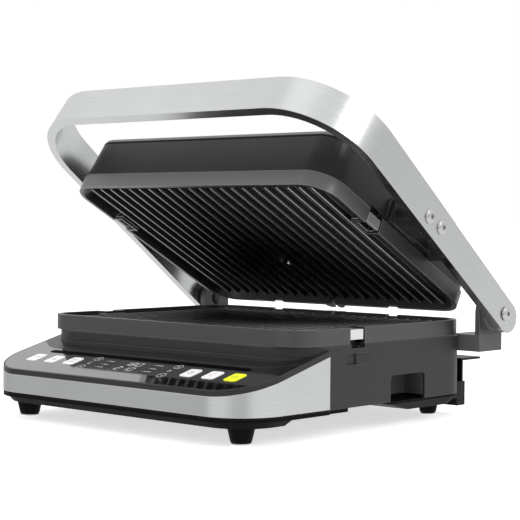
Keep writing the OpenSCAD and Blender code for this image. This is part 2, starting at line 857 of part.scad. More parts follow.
module lower_plate() { color([0.07, 0.07, 0.07]) lower_half() grill_plate(); }
module lower_heater() { color([0.5, 0.48, 0.46]) lower_half() heater(); }
module lower_reflector() { color([0.7, 0.7, 0.7]) lower_half() reflector(); }
module lower_latch(s) { color([0.8, 0.8, 0.8]) sideways(s) lower_half() latch(); }

module upper_plate() { color([0.07, 0.07, 0.07]) upper_half() grill_plate(); }
module upper_heater() { color([0.5, 0.48, 0.46]) upper_half() heater(); }
module upper_reflector() { color([0.7, 0.7, 0.7]) upper_half() reflector(); }
module upper_latch(s) { color([0.8, 0.8, 0.8]) sideways(s) upper_half() latch(); }

// ---------- hinge ----------

// Block at the rear corner with an upright lug and the round hinge boss
module hinge_block() {
    block_z0 = body_top - block_h;
    block_y0 = hinge_y - lug_r;
    block_d = 2 * lug_r;
    color([0.2, 0.2, 0.2]) difference() {
        union() {
            difference() {
                translate([body_w / 2 - 14, block_y0, block_z0])
                    cube([lug_out - body_w / 2 + 14, block_d, block_h]);
                translate([0, 0, block_z0 - 1]) linear_extrude(block_h + 2) body_outline(-0.02);
            }
            translate([lug_out - lug_t, block_y0, block_z0])
                cube([lug_t, block_d, hinge_z - block_z0]);
            translate([lug_out - lug_t, hinge_y, hinge_z]) rotate([0, 90, 0])
                cylinder(r = lug_r, h = lug_t);
            translate([lug_out - 0.1, hinge_y, hinge_z]) rotate([0, 90, 0])
                rotate_extrude() polygon([[0, 0], [boss_r, 0], [boss_r, boss_h * 0.5], [boss_r - 1.2, boss_h * 0.8],
                    [boss_r - 3.4, boss_h + 0.1], [0, boss_h + 0.1]]);
        }
        translate([lug_out - lug_t - 1, hinge_y, hinge_z]) rotate([0, 90, 0])
            cylinder(d = screw_d + 1, h = 20);
    }
}

// A domed head with a recess; the shank points down from the origin
module domed_head(d, h) {
    difference() {
        rotate_extrude() polygon([[0, 0], [d / 2, 0], [d / 2, h * 0.35], [d * 0.42, h * 0.72],
            [d * 0.28, h * 0.95], [0, h]]);
        translate([0, 0, h * 0.45]) cylinder(d = d * 0.3, h = h, $fn = 6);
    }
}

// Shoulder screw that an arm turns on
module hinge_screw() {
    color([0.8, 0.8, 0.82]) translate([lug_out + boss_h, hinge_y, hinge_z]) rotate([0, 90, 0]) {
        cylinder(d = shoulder_d, h = arm_t + 2 * slide_gap);
        translate([0, 0, -lug_t - 7]) cylinder(d = screw_d + 1 - 2 * run_fit, h = lug_t + 7.5);
        translate([0, 0, arm_t + 2 * slide_gap]) domed_head(head_d, 3);
    }
}

// ---------- lid ----------

// Brushed bar bent to a U: two arms and the grip across the front
module handle() {
    taper_u = arm_l - bend_r;
    color([0.78, 0.79, 0.79]) arm_frame() difference() {
        intersection() {
            translate([0, 0, -grip_w]) linear_extrude(2 * grip_w) difference() {
                u_outline(0);
                u_outline(arm_t);
            }
            translate([-arm_span, 0, 0]) rotate([90, 0, 90]) linear_extrude(2 * arm_span) {
                translate([-arm_tail, 0]) circle(d = arm_w);
                polygon([[-arm_tail, -arm_w / 2], [taper_u, -grip_w / 2], [arm_l + 1, -grip_w / 2],
                    [arm_l + 1, grip_w / 2], [taper_u, grip_w / 2], [-arm_tail, arm_w / 2]]);
            }
        }
        translate([-arm_span, 0, 0]) rotate([0, 90, 0])
            cylinder(d = shoulder_d + 2 * run_fit, h = 2 * arm_span);
        rotate([-arm_tilt, 0, 0]) for (q = [screw_q, screw_q + screw_gap])
            translate([-arm_span, q, screw_r]) rotate([0, 90, 0])
                cylinder(d = screw_d + 0.4, h = 2 * arm_span);
    }
}

// Plan of the U, with the two bends
module u_outline(inset) {
    w = arm_span - 2 * inset;
    r = bend_r - inset;
    u1 = arm_l - inset;
    translate([-w / 2, -arm_w]) square([w, u1 - r + arm_w]);
    translate([-w / 2 + r, u1 - r - 1]) square([w - 2 * r, r + 1]);
    for (s = [-1, 1]) translate([s * (w / 2 - r), u1 - r]) circle(r);
}

// Four corner posts, joined by a hull to the crowned shell of the lid
module lid_form(t) {
    r0 = plate_r - t;
    h = lid_h - t;
    hull() for (sx = [-1, 1], sy = [-1, 1])
        translate([sx * (plate_w / 2 - 1 - plate_r), plate_mid + sy * (plate_d / 2 - 1 - plate_r), 0])
            rotate_extrude($fn = 32) polygon([[0, 0], [r0, 0], [r0 - lid_draft * 0.9, h * 0.9],
                [r0 - lid_draft - 0.5, h * 0.955], [r0 - lid_draft - 2, h * 0.985],
                [r0 - lid_draft - 5, h * 0.997], [0, h]]);
}

// Top shell of the lid, hollow, with pads for the arm brackets
module lid_housing() {
    lid_z = plate_h;
    color([0.22, 0.22, 0.22]) upper_half() difference() {
        union() {
            translate([0, 0, lid_z]) difference() {
                lid_form(0);
                translate([0, 0, -1]) lid_form(wall);
            }
            for (s = [-1, 1]) sideways(s) {
                bracket_pad();
                latch_ears();
            }
            lid_ledge();
        }
        for (s = [-1, 1]) sideways(s) {
            latch_slot();
            side_slot();
        }
    }
}

// Ledge inside the lid that carries the upper reflector
module lid_ledge() {
    translate([0, 0, floor_in + 5]) linear_extrude(3) difference() {
        plate_outline(-3);
        plate_outline(-wall - 6);
    }
}

// Depth in the lid of a height above the hinge axis
function lid_depth(r) = r + hinge_up - close_gap / 2;

// Flat pad on the side of the lid for an arm bracket
module bracket_pad() {
    translate([pad_x - pad_t, hinge_y - screw_q - screw_gap - 12, plate_h])
        cube([pad_t, screw_gap + 24, lid_depth(screw_r) + 11 - plate_h]);
}

// The narrow upright slot behind the pad
module side_slot() {
    translate([pad_x - 12, hinge_y - screw_q + 16, lid_depth(22)]) cube([20, 3, 14]);
}

// Bracket from the lid to an arm, with two bosses and a stop boss behind
module arm_bracket() {
    z = lid_depth(screw_r);
    stop_q = stop_u * cos(arm_tilt) - stop_n * sin(arm_tilt);
    stop_r = stop_u * sin(arm_tilt) + stop_n * cos(arm_tilt);
    color([0.15, 0.15, 0.15]) upper_half() difference() {
        union() {
            for (q = [screw_q, screw_q + screw_gap]) translate([pad_x, hinge_y - q, z])
                rotate([0, 90, 0]) cylinder(r = 9, h = arm_in - pad_x);
            translate([pad_x, hinge_y - screw_q - screw_gap, z - 9]) cube([arm_in - pad_x, screw_gap, 18]);
            translate([pad_x, hinge_y - screw_q - screw_gap - 11, z - 10])
                cube([4, screw_gap + 22, 20]);
            translate([pad_x, hinge_y - screw_q + 4, z - 8]) cube([5, screw_q - stop_q, 16]);
            translate([pad_x, hinge_y - stop_q, lid_depth(stop_r)]) rotate([0, 90, 0])
                cylinder(r = 11.4, h = arm_in - pad_x - 3);
        }
        for (q = [screw_q, screw_q + screw_gap]) translate([pad_x + 3, hinge_y - q, z])
            rotate([0, 90, 0]) cylinder(d = screw_d + 2 * run_fit, h = arm_in);
    }
}

// The two domed screws that hold an arm to its bracket
module arm_screws() {
    color([0.8, 0.8, 0.82]) upper_half() for (q = [screw_q, screw_q + screw_gap])
        translate([arm_out, hinge_y - q, lid_depth(screw_r)]) rotate([0, 90, 0]) {
            domed_head(head_d, 2.8);
            translate([0, 0, -arm_t - screw_in]) cylinder(d = screw_d, h = arm_t + screw_in + 0.5);
        }
}

// ---------- drip tray ----------

// Open tray that slides out to the back: its floor and three walls
module drip_tray() {
    color([0.14, 0.14, 0.14]) difference() {
        translate([-tray_w / 2, tray_front_y, tray_floor_z]) cube([tray_w, splash_y - tray_front_y, tray_h]);
        translate([-tray_w / 2 + tray_wall, tray_front_y + tray_wall, tray_floor_z + tray_wall])
            cube([tray_w - 2 * tray_wall, splash_y - tray_front_y, tray_h]);
    }
}

// The tray's rear side: fascia below, splash wall above and the lip to pull
module tray_fascia() {
    fascia_z = rear_pan_z - 4;
    lip_t = 2;
    splash_top = tray_top_z + splash_h;
    color([0.14, 0.14, 0.14]) rotate([90, 0, 90]) translate([0, 0, -tray_w / 2]) linear_extrude(tray_w)
        polygon([[body_back + slide_gap, fascia_z], [splash_y + fascia_t, fascia_z],
            [splash_y + fascia_t, tray_top_z], [splash_y + tray_wall, tray_top_z],
            [splash_y + tray_wall, splash_top - lip_t], [lip_end_y, splash_top - lip_t],
            [lip_end_y, splash_top], [splash_y, splash_top], [splash_y, tray_floor_z],
            [body_back + slide_gap, tray_floor_z]]);
}

base_tray();
rear_pan();
tray_bay_liner();
sideways(-1) grip_pocket();  // grip_pocket_left
sideways(1) grip_pocket();  // grip_pocket_right
base_housing();
steel_band();
deck_frame();
deck_glass();
display_window();
control_board();
power_board();
cord_gland();
front_foot(-1);  // front_foot_left
front_foot(1);  // front_foot_right
rear_foot(-1);  // rear_foot_left
rear_foot(1);  // rear_foot_right
pads(front_foot_x, front_foot_y, foot_d);  // foot_pads_front
pads(rear_foot_x, rear_foot_y, rear_foot_d);  // foot_pads_rear
lower_plate();
lower_heater();
lower_reflector();
sideways(-1) hinge_block();  // hinge_block_left
sideways(1) hinge_block();  // hinge_block_right
sideways(-1) hinge_screw();  // hinge_screw_left
sideways(1) hinge_screw();  // hinge_screw_right
lower_latch(-1);  // lower_latch_left
lower_latch(1);  // lower_latch_right
drip_tray();
tray_fascia();
key(0);  // key_1
key(1);  // key_2
key(2);  // key_3
key(3);  // key_4
key(4);  // key_5
key(5);  // key_6
handle();
lid_housing();
sideways(-1) arm_bracket();  // arm_bracket_left
sideways(1) arm_bracket();  // arm_bracket_right
sideways(-1) arm_screws();  // arm_screws_left
sideways(1) arm_screws();  // arm_screws_right
upper_plate();
upper_heater();
upper_reflector();
upper_latch(-1);  // upper_latch_left
upper_latch(1);  // upper_latch_right
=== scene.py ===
import math
import bmesh
import bpy
from mathutils import Matrix, Vector


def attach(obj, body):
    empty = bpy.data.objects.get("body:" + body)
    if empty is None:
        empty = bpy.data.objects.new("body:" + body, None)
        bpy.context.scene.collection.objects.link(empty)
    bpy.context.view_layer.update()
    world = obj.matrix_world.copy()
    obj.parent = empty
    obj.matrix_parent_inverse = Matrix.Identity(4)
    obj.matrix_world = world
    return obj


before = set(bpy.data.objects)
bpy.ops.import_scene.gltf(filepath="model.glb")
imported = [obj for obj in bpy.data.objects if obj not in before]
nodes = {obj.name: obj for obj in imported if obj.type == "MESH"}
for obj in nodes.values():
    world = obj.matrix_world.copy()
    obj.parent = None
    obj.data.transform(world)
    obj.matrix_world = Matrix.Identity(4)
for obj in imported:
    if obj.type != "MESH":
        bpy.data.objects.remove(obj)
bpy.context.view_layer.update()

mm = 0.001
print("grill: frame loaded,", len(nodes), "CAD nodes")

# camera
frameWidth = 520
sensor = 36
shot = {"eye": (0.93948, -1.01335, 0.17539), "yaw": 42.22, "pitch": -1.58, "roll": 0.41,
        "focal": 1555.2 / frameWidth * sensor, "near": 0.05, "far": 50}


def makeCamera():
    yaw, pitch, roll = (math.radians(shot[k]) for k in ("yaw", "pitch", "roll"))
    ahead = Vector((-math.sin(yaw) * math.cos(pitch), math.cos(yaw) * math.cos(pitch), math.sin(pitch)))
    right = Vector((math.cos(yaw), math.sin(yaw), 0))
    up = right.cross(ahead)
    right, up = right * math.cos(roll) + up * math.sin(roll), up * math.cos(roll) - right * math.sin(roll)
    data = bpy.data.cameras.new("camera")
    data.lens = shot["focal"]
    data.sensor_width = sensor
    data.clip_start, data.clip_end = shot["near"], shot["far"]
    camera = bpy.data.objects.new("camera", data)
    turn = Matrix((right, up, -ahead)).transposed()
    camera.matrix_world = Matrix.Translation(Vector(shot["eye"])) @ turn.to_4x4()
    bpy.context.scene.collection.objects.link(camera)
    bpy.context.scene.camera = camera


makeCamera()

# shader helpers


class Val:
    # one number socket that can be used in Python maths
    def __init__(self, mat, socket):
        self.mat, self.socket = mat, socket

    def maths(self, operation, a, b, **more):
        return self.mat.node("ShaderNodeMath", {"operation": operation, **more}, {0: a, 1: b})

    def __add__(self, other):
        return self.maths("ADD", self, other)

    def __radd__(self, other):
        return self.maths("ADD", other, self)

    def __sub__(self, other):
        return self.maths("SUBTRACT", self, other)

    def __rsub__(self, other):
        return self.maths("SUBTRACT", other, self)

    def __mul__(self, other):
        return self.maths("MULTIPLY", self, other)

    def __rmul__(self, other):
        return self.maths("MULTIPLY", other, self)

    def __truediv__(self, other):
        return self.maths("DIVIDE", self, other)

    def __rtruediv__(self, other):
        return self.maths("DIVIDE", other, self)

    def __pow__(self, other):
        return self.maths("POWER", self, other)

    def __gt__(self, other):
        return self.maths("GREATER_THAN", self, other)

    def __abs__(self):
        return self.maths("ABSOLUTE", self, 0.0)

    def atLeast(self, other):
        return self.maths("MAXIMUM", self, other)

    def atMost(self, other):
        return self.maths("MINIMUM", self, other)

    def clip(self):
        return self.maths("ADD", self, 0.0, use_clamp=True)

    def between(self, start, end, soft=0.0002):
        # 1 between two values in metres, with soft ends
        return ((self - start) / soft + 0.5).clip() * ((end - self) / soft + 0.5).clip()


class Wiring:
    # any node tree; node() makes every node in it
    def __init__(self, tree):
        self.tree = tree
        self.tree.nodes.clear()

    def feed(self, target, key, value):
        socket = target.inputs[key]
        if isinstance(value, Val):
            self.tree.links.new(value.socket, socket)
        elif isinstance(value, (tuple, list)) and len(value) == 3 and len(socket.default_value) == 4:
            socket.default_value = (*value, 1)
        else:
            socket.default_value = value

    def node(self, kind, settings=None, inputs=None, output=0):
        made = self.tree.nodes.new(kind)
        for key, value in (settings or {}).items():
            if key == "stops":
                ramp = made.color_ramp
                while len(ramp.elements) < len(value):
                    ramp.elements.new(0.5)
                for element, (place, shade) in zip(ramp.elements, value):
                    element.position = place
                    element.color = (*shade, 1) if isinstance(shade, tuple) else (shade, shade, shade, 1)
            else:
                setattr(made, key, value)
        for key, value in (inputs or {}).items():
            self.feed(made, key, value)
        return Val(self, made.outputs[output])

    def blend(self, mask, dark, light):
        return self.node("ShaderNodeMix", {"data_type": "RGBA"}, {0: mask, 6: dark, 7: light}, output=2)


class Finish(Wiring):
    # a material with one Principled shader
    def __init__(self, name, **fixed):
        self.material = bpy.data.materials.new(name)
        self.material.use_nodes = True
        super().__init__(self.material.node_tree)
        self.shader = self.tree.nodes.new("ShaderNodeBsdfPrincipled")
        out = self.tree.nodes.new("ShaderNodeOutputMaterial")
        self.tree.links.new(self.shader.outputs[0], out.inputs[0])
        for key, value in fixed.items():
            self.feed(self.shader, key.replace("_", " "), value)
        self.coords = None

    def place(self, stretch=(1, 1, 1), turn=(0, 0, 0)):
        if self.coords is None:
            self.coords = self.node("ShaderNodeTexCoord", output="Object")
        if stretch == (1, 1, 1) and turn == (0, 0, 0):
            return self.coords
        turned = self.coords
        if turn != (0, 0, 0):
            turned = self.node("ShaderNodeMapping", {}, {"Vector": self.coords, "Rotation": turn})
        return self.node("ShaderNodeVectorMath", {"operation": "MULTIPLY"}, {0: turned, 1: stretch})

    def noise(self, scale, detail=3, rough=0.55, stretch=(1, 1, 1), turn=(0, 0, 0)):
        return self.node("ShaderNodeTexNoise", {}, {"Vector": self.place(stretch, turn), "Scale": scale,
                                                    "Detail": detail, "Roughness": rough})

    def spots(self, scale, **settings):
        return self.node("ShaderNodeTexVoronoi", settings, {"Vector": self.place(), "Scale": scale})

    def axis(self, index):
        return self.node("ShaderNodeSeparateXYZ", {}, {0: self.place()}, output=index)

    def edges(self, radius=0.0006, samples=6):
        return self.node("ShaderNodeBevel", {"samples": samples}, {"Radius": radius})

    def edgeWearAndLight(self, radius, gain=6):
        # 1 on the sharp edges and 0 on the flats
        flat = self.node("ShaderNodeNewGeometry", output="Normal")
        same = self.node("ShaderNodeVectorMath", {"operation": "DOT_PRODUCT"},
                         {0: self.edges(radius, 8), 1: flat}, output="Value")
        return ((1 - same) * gain).clip()

    def hinged(self, angle):
        # coordinates from the hinge pin, with the lid turned back to where it is shut
        here = self.node("ShaderNodeTexCoord", output="Object")
        moved = self.node("ShaderNodeVectorMath", {"operation": "SUBTRACT"}, {0: here, 1: hinge["at"]})
        self.coords = self.node("ShaderNodeMapping", {}, {"Vector": moved, "Rotation": (angle, 0, 0)})
        return abs(self.axis(2) - hinge["meet"])

    def bump(self, height, strength, distance, normal=None):
        inputs = {"Height": height, "Strength": strength, "Distance": distance}
        if normal is not None:
            inputs["Normal"] = normal
        self.feed(self.shader, "Normal", self.node("ShaderNodeBump", {}, inputs))

    def colour(self, value):
        self.feed(self.shader, "Base Color", value)

    def rough(self, value):
        self.feed(self.shader, "Roughness", value)


def grey(level):
    return (level, level, level)


# finishes
moulded = {"grain": 2600, "cloud": 14, "fleck": 0.0002, "wearAndLightRadius": 0.0005}


def mouldedPlastic(name, dark, light, roughness, edge=0.0007, edgeWearAndLight=0.10, ior=1.4):
    # injection-moulded plastic: fine spark texture, faint flow clouds, edges painted paler, partly as wear
    # and partly as a painted highlight
    mat = Finish(name, IOR=ior)
    clouds = mat.noise(moulded["cloud"], 4)
    grain = mat.noise(moulded["grain"], 2, 0.6)
    base = mat.blend((clouds * 0.7 + grain * 0.5 - 0.1).clip(), grey(dark), grey(light))
    wornAndLitEdges = mat.edgeWearAndLight(moulded["wearAndLightRadius"])
    mat.colour(mat.blend(wornAndLitEdges, base, grey(edgeWearAndLight)))
    mat.rough(roughness + (clouds - 0.5) * 0.12 + (grain - 0.5) * 0.1 - wornAndLitEdges * 0.1)
    mat.bump(grain, 0.12, moulded["fleck"], mat.edges(edge))
    return mat.material


# "at" is the hinge pin, "meet" the height over it where the two plates face each other
hinge = {"at": (0, 0.1383, 0.0923), "open": math.radians(28.6), "meet": -0.0052}
coating = {"dark": 0.006, "light": 0.013, "fleck": 1500, "roughness": 0.34, "ior": 1.8, "wearAndLightRadius": 0.0009,
           "edge": 0.22, "crest": (0.0022, 0.0031), "crestHighlight": 0.34, "back": 0.022,
           "slopeEnd": 0.0095, "pit": 0.006, "pitShade": 0.001, "pitShadeShare": 0.75,
           "fade": (0.13, 0.05, 0.19, 0.15),
           "half": (0.152, 0.1145), "middle": -0.1233, "corner": 0.026, "wallDepth": 0.0015}


def nonStick(name, opened, wallSheenTone, rearSlopeLight):
    # sprayed coating over a casting: orange peel, pale flecks, thin pale edges that are partly wear and
    # partly painted highlight the tones that change with place are painted light and shade; sprayed
    # coating over a casting: orange peel, pale flecks, thin shiny edges the tones that change with
    # place match the shades seen in the photograph, which may be light
    mat = Finish(name, IOR=coating["ior"])
    apart = mat.hinged(opened)
    # how far inside the rounded outline of the casting a point is
    q = abs(mat.axis(0)) - (coating["half"][0] - coating["corner"])
    w = abs(mat.axis(1) - coating["middle"]) - (coating["half"][1] - coating["corner"])
    round2 = (q.atLeast(0) ** 2 + w.atLeast(0) ** 2) ** 0.5
    inside = coating["corner"] - round2 - q.atLeast(w).atMost(0)
    wall = 1 - ((inside - coating["wallDepth"]) / 0.0004 + 0.5).clip()
    crest = apart.between(*coating["crest"]) * (inside - coating["pit"] > 0)
    peel = mat.noise(420, 3, 0.6)
    cast = mat.noise(60, 3)
    flecks = mat.spots(coating["fleck"])
    shine = (0.16 - flecks).clip() * 5
    base = mat.blend((cast * 0.8 + peel * 0.3).clip(), grey(coating["dark"]), grey(coating["light"]))
    base = mat.blend((shine * 0.35).clip(), base, grey(0.16))
    # painted shade: nearly black between the ribs
    base = mat.blend(((inside - coating["pit"]) / 0.001).clip() * coating["pitShadeShare"], base,
                     grey(coating["pitShade"]))
    # painted light: walls are palest in front, and the painted highlights on crests and edges fade towards
    # the middle of the rear half
    front = (-0.15 - mat.axis(1) * 4.8).clip()
    wide, behind, long, core = coating["fade"]
    outward = (mat.axis(0) / wide) ** 2 + ((mat.axis(1) + behind) / long) ** 2
    highlightReach = (outward - core).clip()
    # painted light: the slope inside the rear rim is paler
    rear = inside.between(coating["wallDepth"], coating["slopeEnd"]) * (mat.axis(1) + coating["back"] > 0)
    base = mat.blend(wall * front, base, grey(wallSheenTone))
    base = mat.blend(rear, base, grey(rearSlopeLight))
    base = mat.blend(crest * highlightReach * (0.7 + cast * 0.5), base, grey(coating["crestHighlight"]))
    # edges painted pale, partly wear and partly painted highlight, on the walls and as far as the crest
    # highlights reach
    wornAndLitEdges = mat.edgeWearAndLight(coating["wearAndLightRadius"])
    mat.colour(mat.blend(wornAndLitEdges * (wall.atLeast(highlightReach)) * 0.8, base, grey(coating["edge"])))
    mat.rough(coating["roughness"] + (peel - 0.5) * 0.2 - shine * 0.1 - wornAndLitEdges * 0.08 - crest * 0.08)
    mat.bump(peel * 0.7 + cast * 0.3, 0.25, 0.0003, mat.edges(0.0006))
    return mat.material


lid = {"dark": 0.009, "light": 0.014, "roughness": 0.34, "seam": (0.0478, 0.0496), "crown": (0.0502, 0.0544),
       "crownHighlight": 0.17}


def lidPlastic():
    # the lid shell: a seam painted dark as shade runs round it under the crown's edge, which is painted
    # paler as a highlight
    mat = Finish("lidPlastic", IOR=1.36)
    height = mat.hinged(hinge["open"])
    clouds = mat.noise(moulded["cloud"], 4)
    grain = mat.noise(moulded["grain"], 2, 0.6)
    base = mat.blend((clouds * 0.7 + grain * 0.5 - 0.1).clip(), grey(lid["dark"]), grey(lid["light"]))
    seam = height.between(*lid["seam"], 0.0005)
    crown = height.between(*lid["crown"], 0.0006)
    base = mat.blend(crown, base, grey(lid["crownHighlight"]))
    base = mat.blend(seam, base, grey(0.001))
    # edges painted paler: partly wear, partly painted highlight
    mat.colour(mat.blend(mat.edgeWearAndLight(moulded["wearAndLightRadius"]), base, grey(0.09)))
    mat.rough(lid["roughness"] + (clouds - 0.5) * 0.12 + (grain - 0.5) * 0.1 + seam * 0.4)
    mat.bump(grain * 0.1 - seam, 0.5, 0.0006, mat.edges(0.0016))
    return mat.material


# light is the tab's own tone; dark is the same tab painted as if shaded
latch = {"light": 0.56, "dark": 0.14, "stem": 0.0106}


def latchPlastic(name, tone, opened):
    # the tab that a finger presses is pale; its stem is painted black as shade, and its edges carry a
    # painted highlight
    mat = Finish(name, IOR=1.45)
    apart = mat.hinged(opened)
    grain = mat.noise(moulded["grain"], 2)
    stem = (apart - latch["stem"]) > 0
    tab = mat.blend(grain, grey(tone * 0.9), grey(tone * 1.08))
    tab = mat.blend(mat.edgeWearAndLight(0.0006), tab, grey(0.8))
    mat.colour(mat.blend(stem, tab, grey(0.006)))
    mat.rough(0.38 + (grain - 0.5) * 0.15 + stem * 0.2)
    mat.bump(grain, 0.1, 0.0002, mat.edges(0.0008))
    return mat.material


steel = {"dark": (0.60, 0.61, 0.61), "light": (0.65, 0.66, 0.66),
         "line": 5200, "streak": 700, "roughness": 0.24}


def brushedSteel(name, along, turn=(0, 0, 0), tone=1.0, depth=0.06):
    # brushed lines: noise that is long along the brushing and fine across it
    mat = Finish(name, Metallic=1.0)
    lines = mat.noise(1, 3, 0.6, tuple(steel["line"] if a == 0 else a for a in along), turn)
    streaks = mat.noise(1, 2, 0.5, tuple(steel["streak"] if a == 0 else a * 0.5 for a in along), turn)
    wear = mat.noise(22, 4)
    mask = (lines * 0.6 + streaks * 0.5 + (wear - 0.5) * 0.4 - 0.05).clip()
    dark = tuple((c - depth / 2) * tone for c in steel["dark"])
    light = tuple((c + depth / 4) * tone for c in steel["light"])
    mat.colour(mat.blend(mask, dark, light))
    mat.rough(steel["roughness"] + (lines - 0.5) * depth * 2.5 + (wear - 0.5) * 0.05)
    mat.bump(lines, depth, 0.0001, mat.edges(0.0005))
    return mat.material


def glossPanel():
    # hard-coated panel: mirror gloss with faint dust and wiping smears
    mat = Finish("glossPanel", IOR=1.62, Coat_Roughness=0.02)
    smear = mat.noise(9, 4, 0.6, (1, 3.5, 1))
    dust = (0.07 - mat.spots(900)).clip() * 12
    mat.colour(mat.blend(dust * 0.3, grey(0.006), grey(0.10)))
    mat.rough(0.05 + (smear - 0.45).clip() * 0.22 + dust * 0.3)
    mat.feed(mat.shader, "Coat Weight", 0.6)
    mat.bump(smear, 0.02, 0.0004, mat.edges(0.0003))
    return mat.material


def polishedSteel():
    mat = Finish("polishedScrew", Metallic=1.0)
    turned = mat.noise(900, 2)
    bright = mat.blend(turned, grey(0.50), grey(0.66))
    # edges and the rim of the recess painted dark: painted shade
    mat.colour(mat.blend(mat.edgeWearAndLight(0.0009, 5), bright, grey(0.12)))
    mat.rough(0.07 + turned * 0.08)
    mat.bump(turned, 0.06, 0.0001, mat.edges(0.0004))
    return mat.material


paint = {"dark": 0.044, "light": 0.062, "lugFrom": 0.0738, "lug": 0.028, "forwardLight": 0.13, "wornAndLitEdges": 0.2}


def paintedMetal():
    mat = Finish("blackPaint", IOR=1.5)
    peel = mat.noise(700, 3)
    wornAndLitEdges = mat.edgeWearAndLight(0.0006)
    lug = ((mat.axis(2) - paint["lugFrom"]) / 0.0006).clip()
    coat = mat.blend(peel, grey(paint["dark"]), grey(paint["light"]))
    coat = mat.blend(lug, coat, grey(paint["lug"]))
    # painted light and shade: faces that look to the front are paler and the top of each hinge block is
    # darker
    normal = mat.node("ShaderNodeNewGeometry", output="Normal")
    facing = mat.node("ShaderNodeSeparateXYZ", {}, {0: normal}, output=1)
    coat = mat.blend((-0.3 - facing).clip() * (1 - lug * 0.5), coat, grey(paint["forwardLight"]))
    # edges painted paler: partly wear, partly painted highlight
    mat.colour(mat.blend(wornAndLitEdges * 0.6, coat, grey(paint["wornAndLitEdges"])))
    mat.rough(0.36 + (peel - 0.5) * 0.2)
    mat.bump(peel, 0.12, 0.0002, mat.edges(0.0009))
    return mat.material


def paleRubber():
    mat = Finish("paleRubber", IOR=1.5)
    pores = mat.noise(1800, 3, 0.7)
    soil = mat.noise(120, 3)
    mat.colour(mat.blend((soil * 0.8 + pores * 0.3).clip(), (0.66, 0.66, 0.64), (0.84, 0.84, 0.82)))
    mat.rough(0.78 + (pores - 0.5) * 0.2)
    mat.bump(pores, 0.25, 0.0002, mat.edges(0.0005))
    return mat.material


def keyPlastic(name, dark, light, glow):
    # silicone key cap with a painted glow that brightens it
    mat = Finish(name, IOR=1.45, Emission_Strength=glow)
    cloud = mat.noise(260, 3)
    grain = mat.noise(3000, 2)
    tone = mat.blend((cloud * 0.8 + grain * 0.2).clip(), dark, light)
    mat.colour(tone)
    mat.feed(mat.shader, "Emission Color", tone)
    mat.rough(0.42 + (grain - 0.5) * 0.2)
    mat.bump(grain, 0.08, 0.0001, mat.edges(0.0009, 8))
    return mat.material


def printInk(name, tone, glow=0.0):
    mat = Finish(name, Emission_Strength=glow)
    mottle = mat.noise(2400, 2)
    shade = mat.blend(mottle, tuple(c * 0.86 for c in tone), tone)
    mat.colour(shade)
    mat.feed(mat.shader, "Emission Color", shade)
    mat.rough(0.5 + (mottle - 0.5) * 0.2)
    return mat.material


def boardLacquer():
    mat = Finish("boardLacquer", IOR=1.5)
    tracks = mat.node("ShaderNodeTexBrick", {}, {"Vector": mat.place(), "Scale": 90.0, "Mortar Size": 0.03})
    mat.colour(mat.blend(mat.noise(400, 2), (0.012, 0.075, 0.035), (0.025, 0.13, 0.06)))
    mat.rough(0.3 + mat.noise(300) * 0.2)
    mat.bump(tracks, 0.2, 0.0002)
    return mat.material


def heatedRod():
    mat = Finish("heatedRod", Metallic=0.9)
    heat = mat.noise(30, 4)
    mat.colour(mat.blend(heat, (0.10, 0.08, 0.075), (0.32, 0.29, 0.27)))
    mat.rough(0.4 + (heat - 0.5) * 0.3)
    mat.bump(mat.noise(1500, 2), 0.1, 0.0001)
    return mat.material


def brightSheet():
    mat = Finish("brightSheet", Metallic=1.0)
    rolled = mat.noise(1, 2, 0.5, (30, 1200, 30))
    mat.colour(mat.blend(rolled, grey(0.55), grey(0.72)))
    mat.rough(0.28 + rolled * 0.16)
    mat.bump(rolled, 0.08, 0.0001, mat.edges(0.0004))
    return mat.material


armTurn = (math.radians(38.1), 0, 0)
finishes = {
    "housing": mouldedPlastic("housingPlastic", 0.016, 0.024, 0.42),
    "lid": lidPlastic(),
    "underside": mouldedPlastic("undersidePlastic", 0.003, 0.005, 0.48, 0.0012, 0.03, 1.12),
    "shadeStrip": mouldedPlastic("shadeStripBlack", 0.001, 0.002, 0.6, 0.0003, 0.003, 1.1),
    # a paler copy of the housing plastic for the grip hollows: painted light where they lie in shade
    "pocket": mouldedPlastic("pocketPlastic", 0.05, 0.065, 0.46, 0.0008, 0.2),
    "bezel": mouldedPlastic("bezelPlastic", 0.012, 0.019, 0.30),
    "tray": mouldedPlastic("trayPlastic", 0.004, 0.007, 0.40, 0.0009, 0.05, 1.27),
    "bracket": mouldedPlastic("bracketPlastic", 0.010, 0.016, 0.36, 0.0012),
    "latchLight": latchPlastic("latchLight", latch["light"], 0.0),
    # the upper latch is the same tab painted darker as shade
    "latchShadedCopy": latchPlastic("latchShadedCopy", latch["dark"], hinge["open"]),
    "gland": mouldedPlastic("glandRubber", 0.010, 0.016, 0.62, 0.0008, 0.04),
    "lowerPlate": nonStick("lowerCoating", 0.0, 0.013, 0.05),
    "upperPlate": nonStick("upperCoating", hinge["open"], 0.055, 0.03),
    "band": brushedSteel("brushedBand", (18, 18, 0)),
    "handle": brushedSteel("brushedHandle", (16, 16, 0), armTurn, 0.97, 0.11),
    "panel": glossPanel(),
    "screw": polishedSteel(),
    "hinge": paintedMetal(),
    "pad": paleRubber(),
    "keyWhite": keyPlastic("keyWhite", (0.78, 0.78, 0.79), (0.88, 0.88, 0.89), 0.25),
    "keyYellow": keyPlastic("keyYellow", (0.78, 0.86, 0.01), (0.90, 0.96, 0.03), 0.25),
    "board": boardLacquer(),
    "rod": heatedRod(),
    "sheet": brightSheet(),
    # inkWhite and inkMark carry a painted glow that brightens the print
    "inkWhite": printInk("inkWhite", (0.62, 0.62, 0.62), 0.15),
    "inkGrey": printInk("inkGrey", (0.20, 0.20, 0.21)),
    "inkMark": printInk("inkMark", (0.55, 0.55, 0.56), 0.1),
    "inkPink": printInk("inkPink", (0.72, 0.30, 0.36)),
    "digits": printInk("lcdDigits", (0.60, 0.61, 0.61), 0.2),
}
print("grill: finishes made")

